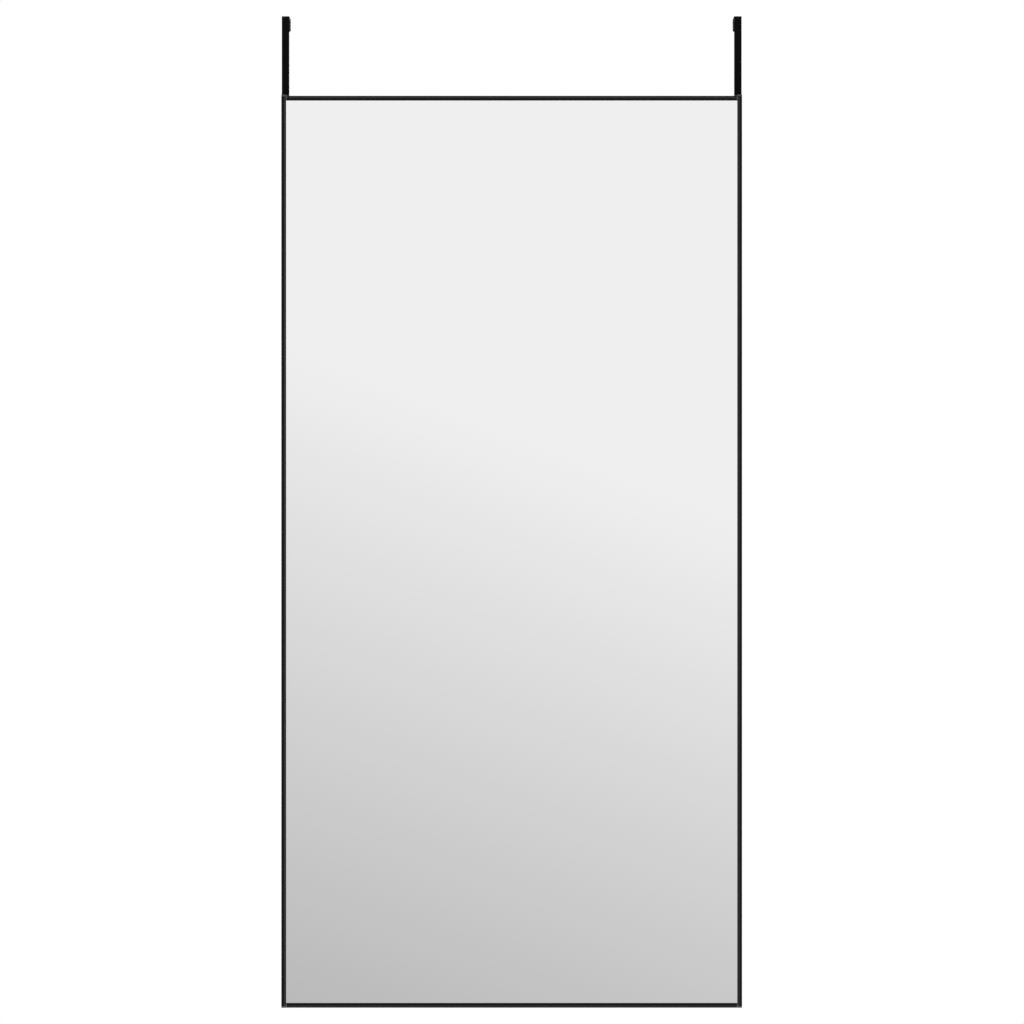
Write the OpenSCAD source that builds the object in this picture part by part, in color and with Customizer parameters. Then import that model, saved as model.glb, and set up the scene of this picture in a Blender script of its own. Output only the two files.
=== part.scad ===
// Over-the-door dressing mirror: a mirror glass in a slim extruded frame, hung from two bent steel straps.
//
// Millimetres. +X is the viewer's right, +Y goes into the door and +Z is up, so the glass faces -Y.
// The origin is on the door's top front edge, midway between the two straps.

/* [Glass and back] */
// Width of the glass that shows
sight_w = 500; // [300:10:700]
// Height of the glass that shows
sight_h = 1000; // [600:10:1600]
// Thickness of the mirror glass
glass_t = 3; // [2:0.5:5]
// Thickness of the hardboard back
board_t = 3; // [2:0.5:5]
// Play between the glass's edge and the frame's wall
glass_play = 0.8; // [0.5:0.1:1.2]
// Size of the 45 degree cut on each corner of the glass and the board
glass_corner = 2; // [0.5:0.5:4]

/* [Frame section] */
// Width of the face that shows round the glass
face_w = 5.3; // [4:0.1:6]
// Thickness of the outer wall, the front lip and the channel's walls
wall_t = 1.2; // [1:0.1:1.5]
// Thickness of the web between the groove and the rear channel
web_t = 1; // [0.8:0.1:1.5]
// Room behind the board for the spring clips
spring_room = 2; // [1.5:0.1:3]
// Width of the rear channel over its walls, and of the strap that covers it
channel_w = 8.3; // [7:0.1:10]
// Clear depth of the rear channel
channel_depth = 4.6; // [4.2:0.1:6]
// Rounding of the outer front edge
edge_r = 1.5; // [0.5:0.1:2]
// Rounding of the section's other long edges
break_r = 0.4; // [0.2:0.1:0.6]

/* [Corner hardware] */
// Thickness of a corner angle
angle_t = 3; // [2.5:0.1:3.2]
// Reach of a corner angle's legs from the frame's outer face
angle_reach = 30; // [26:1:45]
// Play beside a corner angle in its channel
angle_play = 0.2; // [0.1:0.05:0.3]
// Thickness of a corner shim
shim_t = 0.8; // [0.5:0.1:1]
// Reach of a corner shim's legs from the frame's outer face
shim_reach = 22; // [20:0.5:23]
// Cut on the tips of the angles and shims, which leads them into the channel
tip_cut = 1; // [0.5:0.1:1.5]
// Place of the set screws, from the frame's outer face
set_screw_at = 16; // [12:0.5:18]
// Depth of a set screw's hexagon socket
socket_depth = 1.5; // [1:0.1:2]
// Width across the flats of that socket
socket_af = 1.5; // [1.3:0.1:2]

/* [Screws] */
// Thread diameter of all screws
screw_d = 3; // [2.5:0.1:3.4]
// Diameter of the hook screws' countersunk heads
head_d = 5.5; // [5:0.1:6]
// Play of a thread in its tapped hole, on the diameter
thread_play = 0.1; // [0.05:0.05:0.2]
// Play of a screw in a clearance hole or in the channel's slot, on the diameter
hole_play = 0.3; // [0.2:0.1:0.5]
// Depth of the countersunk heads below the strap's face
head_sink = 0.1; // [0:0.05:0.2]
// Length of the hook screws that shows past the corner angle
screw_out = 0.4; // [0.2:0.1:0.8]
// Length of the set screws that stands in the channel's slot
set_screw_out = 0.2; // [0.1:0.1:0.8]

/* [Spring clips] */
// Clips on each stile
side_clips = 3; // [2:1:5]
// Clips on each rail
end_clips = 2; // [1:1:3]
// Length of a clip along the frame
clip_l = 36; // [24:1:50]
// Reach of a clip out of the frame, where pliers take it
clip_out = 4.5; // [4:0.5:8]
// Thickness of a clip's spring strip
clip_t = 0.4; // [0.3:0.1:0.6]
// Play at a clip's crown, ends and outer edge
clip_play = 0.05; // [0.02:0.01:0.1]
// Diameter of the pinch hole in a clip
clip_hole_d = 2.5; // [2:0.1:3]

/* [Hooks] */
// Thickness of the door that the hooks take
door_gap = 45; // [35:1:60]
// Drop from the door's top to the frame's top
hang_drop = 87; // [40:1:150]
// Thickness of the strap steel
strap_t = 1.5; // [1.3:0.1:2]
// Inner radius of the strap's bends
bend_r = 1.5; // [1:0.1:3]
// Length of the lip behind the door, over the strap's top
lip_l = 14; // [11:0.5:30]
// Place of the upper hook screw below the frame's top
hook_screw_at = 28; // [27:0.5:36]
// Distance between a hook's two screws
hook_screw_pitch = 24; // [16:1:40]
// Strap left below the lower screw
strap_end = 9; // [7:0.5:20]
// Rounding of the strap's end corners
strap_corner_r = 1.5; // [0.5:0.1:3]
// Thickness of the foam pads
pad_t = 1; // [0.5:0.1:2]
// Strap left bare round a pad
pad_inset = 0.3; // [0.1:0.1:1]

/* [Small plastic parts] */
// Thickness of the stiles' end caps
cap_t = 1.4; // [1:0.1:1.6]
// Play round an end cap's spigot
cap_play = 0.1; // [0.05:0.05:0.2]
// Gap between an end cap's spigot and the glass
cap_gap = 0.2; // [0.1:0.05:0.3]
// Length of a setting block under the glass
block_l = 30; // [15:1:60]
// Distance between the middles of the two setting blocks
block_pitch = 250; // [120:10:260]
// Diameter of the bumpers at the frame's foot
bumper_d = 7; // [5.5:0.1:7.4]
// Height of the bumpers above the frame's bottom
bumper_at = 44; // [40:1:120]
// Diameter of the bumper's barb inside the channel
barb_d = 4.4; // [4:0.1:4.6]
// Length of that barb
barb_l = 1.8; // [1:0.1:2.4]

/* [Hidden] */
// depths behind the frame's face
glass_v = wall_t;
board_v = glass_v + glass_t;
spring_v = board_v + board_t;
web_v = spring_v + spring_room;
channel_v = web_v + web_t;
back_lip_v = channel_v + channel_depth;
frame_depth = back_lip_v + wall_t;

// the frame's outside and its place
frame_w = sight_w + 2 * face_w;
frame_h = sight_h + 2 * face_w;
frame_front = -strap_t - frame_depth;
frame_top = -hang_drop;
frame_bottom = frame_top - frame_h;
frame_mid = (frame_top + frame_bottom) / 2;

// the slot along the middle of the rear channel
slot_c = channel_w / 2;
slot_w = screw_d + hole_play;

// the glass and the board, from the frame's outer face
glass_in = wall_t + glass_play;
glass_w = frame_w - 2 * glass_in;
glass_h = frame_h - 2 * glass_in;

// the corner angles: across their legs, the longer leg that takes the hook screws, and their front face
angle_in = max(wall_t, cap_t) + angle_play;
angle_out = channel_w - wall_t - angle_play;
hook_leg_reach = hook_screw_at + hook_screw_pitch + strap_end - strap_corner_r;
angle_v = back_lip_v - angle_t;
shim_back_v = channel_v + shim_t;
set_screw_l = back_lip_v + set_screw_out - shim_back_v;

// the straps
strap_x = frame_w / 2 - slot_c;
tail_z = frame_top - hook_screw_at - hook_screw_pitch - strap_end;
bend_z = pad_t - bend_r;
lip_y = door_gap + pad_t;
lip_z = pad_t + strap_t - lip_l;
hook_screw_l = strap_t + wall_t + angle_t + screw_out - head_sink;
pad_w = channel_w - 2 * pad_inset;

// the clips: rise of the bow and radius of its hollow side
clip_rise = spring_room - clip_t - 2 * clip_play;
clip_r = (pow(clip_l / 2, 2) + pow(clip_rise, 2)) / (2 * clip_rise);
clip_in = wall_t + clip_play;

// overshoot of a cut past the face that it opens
cut = 0.5;
$fn = 96;

BLACK_METAL = "#1d1d1f";
BLACK_STEEL = "#151516";
BLACK_PLASTIC = "#262628";
ZINC = "#a9adb2";

// left and bottom are -1, right and top are 1
function side_name(side) = side < 0 ? "left" : "right";
function end_name(end) = end < 0 ? "bottom" : "top";
function corner_name(side, end) = str(end_name(end), "_", side_name(side));
function clip_name(where, i) = str("spring_clip_", where, "_", i);
// middle of clip i out of n, spread evenly over a length
function clip_place(i, n, length) = (i - (n + 1) / 2) * length / n;

// Draws from a corner of the frame: x inwards from its side, y back from its face, z inwards from its end.
module at_corner(side, end) {
    translate([side * frame_w / 2, frame_front, end > 0 ? frame_top : frame_bottom])
        mirror([side > 0 ? 1 : 0, 0, 0])
            mirror([0, 0, end > 0 ? 1 : 0])
                children();
}

// Makes a flat outline, drawn in x and z, as thick as t behind depth y.
module slab(y, t) {
    translate([0, y + t, 0])
        rotate([90, 0, 0])
            linear_extrude(t)
                children();
}

// What rounding takes off the corner at the origin of an outline in the first quadrant.
module edge_cut(r) {
    difference() {
        translate([-cut, -cut])
            square(r + cut);
        translate([r, r])
            circle(r);
    }
}

// The extrusion: x inwards from the frame's outer face, y back from its front.
module frame_section() {
    difference() {
        square([channel_w, frame_depth]);
        // step behind the glass, which leaves only the narrow lip in front
        translate([face_w, -cut])
            square([channel_w, web_v + cut]);
        // groove for the glass, the board and the clips
        translate([wall_t, glass_v])
            square([channel_w, web_v - glass_v]);
        // rear channel for the corner angles
        translate([wall_t, channel_v])
            square([channel_w - 2 * wall_t, channel_depth]);
        // slot along its back
        translate([slot_c - slot_w / 2, channel_v])
            square([slot_w, frame_depth]);
        edge_cut(edge_r);
        translate([face_w, 0])
            mirror([1, 0])
                edge_cut(break_r);
        translate([0, frame_depth])
            mirror([0, 1])
                edge_cut(break_r);
        translate([channel_w, frame_depth])
            rotate(180)
                edge_cut(break_r);
    }
}

// A stile runs the frame's full height. Its foot is cut short by the end cap, which ends level with the rail.
module stile(side) {
    color(BLACK_METAL)
    difference() {
        translate([side * frame_w / 2, frame_front, frame_bottom + cap_t])
            mirror([side > 0 ? 1 : 0, 0, 0])
                linear_extrude(frame_h - cap_t)
                    frame_section();
        for (end = [-1, 1])
            at_corner(side, end)
                angle_notch();
    }
}

// The notch in a stile's channel that lets the corner angle's leg out into the rail.
module angle_notch() {
    translate([channel_w - wall_t - cut, channel_v, -cut])
        cube([wall_t + 2 * cut, channel_depth, channel_w - wall_t + cut]);
}

// A rail butts between the stiles. Behind the glass its ends are cut back to the stiles' wider channels.
module rail(end) {
    color(BLACK_METAL)
    difference() {
        translate([-sight_w / 2, frame_front, end > 0 ? frame_top : frame_bottom])
            mirror([0, 0, end > 0 ? 0 : 1])
                rotate([0, 90, 0])
                    linear_extrude(sight_w)
                        frame_section();
        for (side = [-1, 1])
            at_corner(side, end)
                translate([face_w - cut, web_v, -cut])
                    cube([channel_w - face_w + cut, frame_depth, channel_w + 2 * cut]);
    }
}

// A sheet that fills the frame's groove, its corners taken off.
module sheet_outline() {
    x = glass_w / 2;
    z = glass_h / 2;
    c = glass_corner;
    translate([0, frame_mid])
        polygon([
            [x - c, z], [x, z - c], [x, c - z], [x - c, -z],
            [c - x, -z], [-x, c - z], [-x, z - c], [c - x, z]
        ]);
}

module mirror_glass() {
    color("#b9c2c6")
        slab(frame_front + glass_v, glass_t)
            sheet_outline();
}

module back_board() {
    color("#7a5a3a")
        slab(frame_front + board_v, board_t)
            sheet_outline();
}

// An L with its tips cut for an easy start: reach_x along the rail, reach_z along the stile.
module angle_outline(reach_x, reach_z) {
    polygon([
        [angle_in, angle_in],
        [reach_x - tip_cut, angle_in],
        [reach_x, angle_in + tip_cut],
        [reach_x, angle_out - tip_cut],
        [reach_x - tip_cut, angle_out],
        [angle_out, angle_out],
        [angle_out, reach_z - tip_cut],
        [angle_out - tip_cut, reach_z],
        [angle_in + tip_cut, reach_z],
        [angle_in, reach_z - tip_cut]
    ]);
}

// A tapped hole in an outline, on the channel's middle.
module tapped_hole() {
    circle(d = screw_d + thread_play);
}

// The upper angles have a longer leg, tapped for the hook screws, so the frame hangs from its corners.
module corner_angle(side, end) {
    color(ZINC)
    at_corner(side, end)
        slab(angle_v, angle_t)
            difference() {
                angle_outline(angle_reach, end > 0 ? hook_leg_reach : angle_reach);
                translate([slot_c, set_screw_at])
                    tapped_hole();
                translate([set_screw_at, slot_c])
                    tapped_hole();
                if (end > 0)
                    for (z = [hook_screw_at, hook_screw_at + hook_screw_pitch])
                        translate([slot_c, z])
                            tapped_hole();
            }
}

// A shim lies on the channel's web, where the set screws bear on it.
module corner_shim(side, end) {
    color(ZINC)
    at_corner(side, end)
        slab(channel_v, shim_t)
            angle_outline(shim_reach, shim_reach);
}

// The set screws, two to a corner, press each angle back against its channel's lips.
module corner_set_screws() {
    color("#3b3c3f")
    for (side = [-1, 1], end = [-1, 1])
        at_corner(side, end) {
            translate([slot_c, shim_back_v, set_screw_at])
                set_screw();
            translate([set_screw_at, shim_back_v, slot_c])
                set_screw();
        }
}

// A headless screw along +y, its socket at the back.
module set_screw() {
    rotate([-90, 0, 0])
        difference() {
            cylinder(d = screw_d, h = set_screw_l);
            translate([0, 0, set_screw_l - socket_depth])
                cylinder(d = socket_af / cos(30), h = socket_depth + cut, $fn = 6);
        }
}

// An end cap closes a stile's open end: the section's own outline, and a spigot in its groove.
module end_cap(side, end) {
    color(BLACK_PLASTIC)
    at_corner(side, end)
        translate([0, 0, end > 0 ? 0 : cap_t]) {
            translate([0, 0, -cap_t])
                linear_extrude(cap_t)
                    difference() {
                        union() {
                            square([face_w, frame_depth]);
                            translate([0, web_v])
                                square([channel_w, frame_depth - web_v]);
                        }
                        edge_cut(edge_r);
                        translate([0, frame_depth])
                            mirror([0, 1])
                                edge_cut(break_r);
                        translate([channel_w, frame_depth])
                            rotate(180)
                                edge_cut(break_r);
                    }
            translate([wall_t + cap_play, glass_v + cap_play, 0])
                cube([
                    face_w - wall_t - 2 * cap_play,
                    web_v - glass_v - 2 * cap_play,
                    glass_in - cap_t - cap_gap
                ]);
        }
}

// A bowed strip of spring steel: x inwards, y back from the board, z along the frame from its middle.
module spring_clip_form() {
    difference() {
        translate([clip_in, clip_play, 0])
            rotate([90, 0, 90])
                linear_extrude(channel_w + clip_out - clip_in)
                    intersection() {
                        translate([clip_r + clip_t, 0])
                            difference() {
                                circle(clip_r + clip_t, $fn = 720);
                                circle(clip_r, $fn = 720);
                            }
                        translate([0, -clip_l / 2])
                            square([clip_rise + clip_t, clip_l]);
                    }
        // the hole that pliers take it by, on the part that stands out of the frame
        translate([channel_w + clip_out / 2, -cut, 0])
            rotate([-90, 0, 0])
                cylinder(d = clip_hole_d, h = spring_room);
    }
}

module spring_clip_on_stile(side, i) {
    color(ZINC)
    translate([side * frame_w / 2, frame_front + spring_v, frame_mid + clip_place(i, side_clips, sight_h)])
        mirror([side > 0 ? 1 : 0, 0, 0])
            spring_clip_form();
}

module spring_clip_on_rail(end, i) {
    color(ZINC)
    translate([clip_place(i, end_clips, sight_w), frame_front + spring_v, end > 0 ? frame_top : frame_bottom])
        mirror([0, 0, end > 0 ? 0 : 1])
            rotate([0, 90, 0])
                spring_clip_form();
}

// A setting block carries the glass's and the board's weight on the bottom rail.
module setting_block(side) {
    color(BLACK_PLASTIC)
        translate([side * block_pitch / 2 - block_l / 2, frame_front + glass_v, frame_bottom + wall_t])
            cube([block_l, glass_t + board_t, glass_play]);
}

// A quarter of a strap's bend, turned to start at an angle.
module bend(start) {
    rotate(start)
        intersection() {
            difference() {
                circle(bend_r + strap_t);
                circle(bend_r);
            }
            square(bend_r + strap_t);
        }
}

// The strap from the side: x into the door, y up.
module hook_outline() {
    translate([-strap_t, tail_z])
        square([strap_t, bend_z - tail_z]);
    translate([bend_r, bend_z])
        bend(90);
    translate([bend_r, pad_t])
        square([lip_y - 2 * bend_r, strap_t]);
    translate([lip_y - bend_r, bend_z])
        bend(0);
    translate([lip_y, lip_z])
        square([strap_t, bend_z - lip_z]);
}

// What rounding takes off both corners of a strap's lower end.
module strap_end_cut(z) {
    r = min(strap_corner_r, channel_w / 2);
    for (half = [0, 1])
        mirror([half, 0, 0])
            translate([-channel_w / 2, 0, z])
                slab(-strap_t - cut, lip_y + 3 * strap_t)
                    edge_cut(r);
}

// A hook is one steel strap: up the frame's back, over the door and down behind it.
module hook(side) {
    color(BLACK_STEEL)
    translate([side * strap_x, 0, 0])
        difference() {
            translate([-channel_w / 2, 0, 0])
                rotate([90, 0, 90])
                    linear_extrude(channel_w)
                        hook_outline();
            for (z = [hook_screw_at, hook_screw_at + hook_screw_pitch])
                translate([0, 0, frame_top - z])
                    rotate([90, 0, 0])
                        countersink();
            intersection() {
                strap_end_cut(tail_z);
                translate([-channel_w, -strap_t - cut, tail_z - cut])
                    cube([2 * channel_w, 2 * strap_t, strap_end]);
            }
            intersection() {
                strap_end_cut(lip_z);
                translate([-channel_w, lip_y - cut, lip_z - cut])
                    cube([2 * channel_w, 2 * strap_t, strap_corner_r + 2 * cut]);
            }
        }
}

// A countersunk hole, along +z from the strap's face.
module countersink() {
    top_d = head_d + hole_play;
    hole_d = screw_d + hole_play;
    translate([0, 0, -cut])
        cylinder(d1 = top_d + 2 * cut, d2 = hole_d, h = (top_d - hole_d) / 2 + cut);
    translate([0, 0, -cut])
        cylinder(d = hole_d, h = strap_t + 2 * cut);
}

// The hook screws pass the strap and the channel's slot into the corner angle.
module hook_screws() {
    color("#2a2a2c")
    for (side = [-1, 1], z = [hook_screw_at, hook_screw_at + hook_screw_pitch])
        translate([side * strap_x, -head_sink, frame_top - z])
            rotate([90, 0, 0]) {
                cylinder(d1 = head_d, d2 = screw_d, h = (head_d - screw_d) / 2);
                cylinder(d = screw_d, h = hook_screw_l);
            }
}

// The foam pad under the strap's bridge, which sits on the door.
module seat_pad(side) {
    color(BLACK_PLASTIC)
        translate([side * strap_x - pad_w / 2, bend_r + pad_inset, 0])
            cube([pad_w, lip_y - 2 * (bend_r + pad_inset), pad_t]);
}

// The foam pad on the lip, behind the door.
module lip_pad(side) {
    color(BLACK_PLASTIC)
        translate([side * strap_x - pad_w / 2, door_gap, lip_z + strap_corner_r])
            cube([pad_w, pad_t, bend_z - lip_z - strap_corner_r - pad_inset]);
}

// A bumper keeps the frame's foot as far off the door as the straps do. Its barb holds it in the channel's slot.
module bumper(side) {
    color(BLACK_PLASTIC)
    translate([side * strap_x, 0, frame_bottom + bumper_at])
        rotate([90, 0, 0]) {
            rotate_extrude()
                difference() {
                    square([bumper_d / 2, strap_t]);
                    translate([bumper_d / 2, 0])
                        mirror([1, 0])
                            edge_cut(break_r);
                }
            cylinder(d = slot_w - 2 * cap_play, h = strap_t + wall_t + barb_l);
            translate([0, 0, strap_t + wall_t])
                cylinder(d1 = barb_d, d2 = slot_w - 2 * cap_play, h = barb_l);
        }
}

mirror_glass();
back_board();
corner_set_screws();
hook_screws();
for (side = [-1, 1]) {
    stile(side);
    setting_block(side);
    hook(side);
    seat_pad(side);
    lip_pad(side);
    bumper(side);
    for (i = [1 : side_clips])
        spring_clip_on_stile(side, i);
}
for (end = [-1, 1]) {
    rail(end);
    for (i = [1 : end_clips])
        spring_clip_on_rail(end, i);
}
for (side = [-1, 1], end = [-1, 1]) {
    corner_angle(side, end);
    corner_shim(side, end);
    end_cap(side, end);
}
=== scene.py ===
"""Over-the-door dressing mirror: finishes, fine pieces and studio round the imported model.

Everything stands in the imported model's frame, in metres: +X is the viewer's right, +Y goes into the door,
+Z is up, and the origin is on the door's top front edge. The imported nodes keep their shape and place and
get procedural finishes. Hooks, hook screws, end caps and foam pads are replaced by finer pieces.
"""

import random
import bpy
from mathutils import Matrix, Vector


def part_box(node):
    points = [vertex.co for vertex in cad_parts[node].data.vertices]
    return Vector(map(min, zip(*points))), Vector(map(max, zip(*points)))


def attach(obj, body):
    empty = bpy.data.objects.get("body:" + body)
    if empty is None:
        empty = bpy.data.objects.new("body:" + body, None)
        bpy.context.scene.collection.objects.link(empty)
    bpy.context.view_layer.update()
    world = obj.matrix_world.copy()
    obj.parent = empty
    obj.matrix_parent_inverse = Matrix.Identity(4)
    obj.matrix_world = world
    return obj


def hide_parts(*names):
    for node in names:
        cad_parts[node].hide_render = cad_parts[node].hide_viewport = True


bl_info = {
    "name": "Over-the-Door Mirror",
    "version": (1, 0, 0),
    "blender": (4, 5, 0),
    "location": "View3D > Sidebar > Door Mirror",
    "description": "Dresses a packed over-the-door mirror in finishes, fine pieces and a studio",
    "category": "Object",
}

from math import cos, pi, radians, sin, sqrt, tan

import bmesh
import bpy
from bpy.props import FloatProperty, FloatVectorProperty, IntProperty, PointerProperty
from bpy.types import NodeSocket, Operator, Panel, PropertyGroup
from mathutils import Matrix, Vector

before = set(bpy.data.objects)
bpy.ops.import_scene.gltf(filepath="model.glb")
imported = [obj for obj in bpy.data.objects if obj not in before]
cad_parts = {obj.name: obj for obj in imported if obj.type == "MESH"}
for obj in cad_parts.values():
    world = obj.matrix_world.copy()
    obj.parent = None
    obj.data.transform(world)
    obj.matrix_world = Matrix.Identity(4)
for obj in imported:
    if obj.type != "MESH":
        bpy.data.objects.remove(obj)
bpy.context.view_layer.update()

MM = 0.001
SIDES = (("left", -1), ("right", 1))
ENDS = (("bottom", -1), ("top", 1))

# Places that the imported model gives
HOOK_LOW, HOOK_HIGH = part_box("hook_left")
STRAP_THICKNESS = -HOOK_LOW.y
STRAP_WIDTH = HOOK_HIGH.x - HOOK_LOW.x
SEAT_PAD_THICKNESS = HOOK_HIGH.z - STRAP_THICKNESS
FRAME_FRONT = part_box("stile_right")[0].y
FRAME_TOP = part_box("rail_top")[1].z
GLASS_MIDDLE = (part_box("mirror_glass")[0].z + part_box("mirror_glass")[1].z) / 2
BOARD_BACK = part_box("back_board")[1].y

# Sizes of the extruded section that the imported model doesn't give by a box
EDGE_RADIUS = 1.5 * MM
REAR_RADIUS = 0.4 * MM
WALL = 1.2 * MM
SPRING_ROOM = 2.0 * MM
SPIGOT_PLAY = 0.1 * MM

# Colours of dust, and the two ends of the scale
DUST = (0.42, 0.4, 0.37)
GREY_DUST = (0.4, 0.38, 0.35)
GLASS_DUST = (0.6, 0.6, 0.59)
WHITE = (1.0, 1.0, 1.0)
BLACK = (0.0, 0.0, 0.0)


# Sizes and colours that a user would change


def length(name, text, default, least=0.0, most=0.1):
    """A property for a size or a place in metres."""
    return FloatProperty(
        name=name, description=text, default=default, min=least, max=most, precision=5, unit="LENGTH"
    )


def share(name, text, default, most=1.0):
    """A property for a plain number from nought up."""
    return FloatProperty(name=name, description=text, default=default, min=0.0, max=most, precision=3)


def colour(name, text, default):
    """A property for the linear colour of something."""
    return FloatVectorProperty(
        name=name, description=f"Colour of {text}", default=default, min=0.0, max=1.0, size=3, subtype="COLOR"
    )


class GlassSettings(PropertyGroup):
    """The silvered glass."""

    silver: colour("Silver", "what the silvering gives back", (0.863, 0.864, 0.862))
    polish: share("Roughness", "Roughness of the clean glass", 0.008)
    specks: share("Dust specks", "Share of the glass that fine dust covers", 0.02)


class FrameSettings(PropertyGroup):
    """The extruded frame members."""

    face: length("Face width", "Width of the face that shows round the glass", 0.0053, 0.004, 0.006)
    black: colour("Black", "the black coating", (0.0032, 0.0032, 0.0034))
    # Painted highlight: this pale colour, with the width and depths below, stands in for light caught along
    # the frame's face
    pale: colour("Pale line", "the pale line along the face", (0.036, 0.036, 0.037))
    metal: colour("Bare metal", "the aluminium that rubbed edges show", (0.35, 0.35, 0.36))
    sheen: share("Roughness", "Middle roughness of the coating", 0.32)
    line_depth: length("Die line depth", "Height of the lines along the extrusion", 0.000012, most=0.0002)
    rub: share("Edge rub", "How much the edges are rubbed", 0.1)
    saw_line: length("Saw line", "Width of the bare line at a rail's sawn ends", 0.00035, most=0.001)
    stile_saw: share("Stiles' saw line", "Its width at a stile's ends, as a share of a rail's", 0.45)
    # Width and depths of the painted highlight line, set apart for stiles and rails
    highlight_width: length("Pale line's width", "Width of the pale line along the face", 0.0011, most=0.003)
    stile_highlight: length("Stiles' pale line", "Its depth inside a stile's outer edge", 0.0036, most=0.005)
    rail_highlight: length("Rails' pale line", "Its depth inside a rail's outer edge", 0.00185, most=0.005)


class HookSettings(PropertyGroup):
    """The two bent straps."""

    black: colour("Black", "the powder coat", (0.0012, 0.0012, 0.0013))
    sheen: share("Roughness", "Middle roughness of the powder coat", 0.5)
    bend_radius: length("Bend radius", "Inner radius of the strap's bends", 0.0015, 0.0005, 0.004)
    lip: length("Lip", "Length of the lip behind the door, over the bridge", 0.014, 0.008, 0.04)
    corner_radius: length("Corner radius", "Rounding of the strap's end corners", 0.0015, 0.0003, 0.0035)
    edge_softness: length("Edge softness", "Rounding of the strap's long edges", 0.0003, 0.00005, 0.0006)
    bend_steps: IntProperty(name="Bend steps", description="Faces round a bend", default=16, min=4, max=48)


class ScrewSettings(PropertyGroup):
    """The countersunk hook screws."""

    black: colour("Black", "the blackened steel", (0.03, 0.03, 0.032))
    head: length("Head diameter", "Diameter of the countersunk head", 0.0055, 0.004, 0.0065)
    thread: length("Thread diameter", "Outer diameter of the thread", 0.003, 0.002, 0.004)
    pitch: length("Thread pitch", "Distance from one turn of the thread to the next", 0.0005, 0.0003, 0.001)
    first: length("Upper screw", "Distance of the upper screw below the frame's top", 0.028, 0.02, 0.04)
    spacing: length("Spacing", "Distance between a hook's two screws", 0.024, 0.012, 0.04)
    sink: length("Sink", "Depth of the heads below the strap's face", 0.0001, 0.0, 0.0004)


class BackSettings(PropertyGroup):
    """The hardboard back."""

    board: colour("Board", "the hardboard itself", (0.205, 0.112, 0.056))
    fibre: colour("Fibre", "its paler fibres", (0.36, 0.225, 0.125))
    bark: colour("Bark", "its dark specks", (0.05, 0.026, 0.013))


class HardwareSettings(PropertyGroup):
    """Angles, shims, set screws and spring clips."""

    zinc: colour("Zinc", "the zinc plating", (0.5, 0.515, 0.535))
    spring: colour("Spring steel", "the tempered spring strip", (0.36, 0.37, 0.4))
    temper: colour("Temper", "the straw tint that tempering leaves", (0.44, 0.37, 0.27))


class SoftSettings(PropertyGroup):
    """End caps, setting blocks, bumpers and foam pads."""

    plastic: colour("Plastic", "the moulded plastic", (0.022, 0.022, 0.023))
    rubber: colour("Rubber", "the bumpers", (0.016, 0.016, 0.017))
    foam: colour("Foam", "the foam pads", (0.014, 0.014, 0.015))
    cap_thickness: length("Cap thickness", "Thickness of an end cap's plate", 0.0014, 0.0008, 0.003)
    cap_softness: length("Cap softness", "Rounding of an end cap's outer edge", 0.00028, 0.0001, 0.0006)
    foam_softness: length("Foam softness", "Rounding of the foam's cut edges", 0.00022, 0.00005, 0.0004)


class StudioSettings(PropertyGroup):
    """Floor, lamps, background and camera."""

    floor: colour("Floor", "the studio floor", (0.9, 0.9, 0.9))
    floor_z: length("Floor height", "Height of the floor over the door's top", -2.0, -5.0, 0.0)
    key: share("Key lamp", "Irradiance of the key lamp", 1.25, most=5.0)
    fill: share("Fill lamp", "Irradiance of the fill lamp", 0.5, most=5.0)
    back: share("Back lamp", "Irradiance of the lamp behind the mirror", 1.2, most=5.0)
    ambient: share("Ambient", "Level of the light from all round", 0.55, most=2.0)
    camera_away: length("Camera distance", "Distance from the frame's face to the camera", 7.242, 1.0, 20.0)
    camera_x: length("Camera's place", "How far right of the middle the camera stands", 0.00033, -1.0, 1.0)
    camera_rise: length("Camera height", "Height of the camera over the glass's middle", 0.04406, -1.0, 1.0)
    view_width: length("View width", "Width of the view at the frame's face", 1.13459, 0.1, 5.0)


class MirrorSettings(PropertyGroup):
    """All settings of the door mirror."""

    glass: PointerProperty(type=GlassSettings)
    members: PointerProperty(type=FrameSettings)
    hooks: PointerProperty(type=HookSettings)
    screws: PointerProperty(type=ScrewSettings)
    back: PointerProperty(type=BackSettings)
    hardware: PointerProperty(type=HardwareSettings)
    soft: PointerProperty(type=SoftSettings)
    studio: PointerProperty(type=StudioSettings)


# Node trees


def feed(tree, socket, value):
    """Joins a socket to a node's output, or sets it to a plain value."""
    if isinstance(value, NodeSocket):
        tree.links.new(value, socket)
    else:
        socket.default_value = value


def add_node(tree, kind, feeds=None, **options):
    """Adds a shader node with its options, and fills its inputs from sockets or plain values."""
    node = tree.nodes.new(f"ShaderNode{kind}")
    for name, value in options.items():
        setattr(node, name, value)
    for name, value in (feeds or {}).items():
        feed(tree, node.inputs[name], value)
    return node


def calculate(tree, operation, first, second=0.0, clamp=False):
    """The result of a Math node."""
    feeds = {0: first, 1: second}
    return add_node(tree, "Math", feeds, operation=operation, use_clamp=clamp).outputs[0]


def times(tree, value, *factors):
    """The product of a value and its factors."""
    for factor in factors:
        value = calculate(tree, "MULTIPLY", value, factor)
    return value


def plus(tree, first, second, clamp=False):
    """The sum of two values."""
    return calculate(tree, "ADD", first, second, clamp)


def per_metre(tree, size):
    """How many of a size go into a metre, which is a texture's scale."""
    return calculate(tree, "DIVIDE", 1.0, size)


def dot_product(tree, first, second):
    """The dot product of two vectors."""
    feeds = {0: first, 1: second}
    return add_node(tree, "VectorMath", feeds, operation="DOT_PRODUCT").outputs["Value"]


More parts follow.
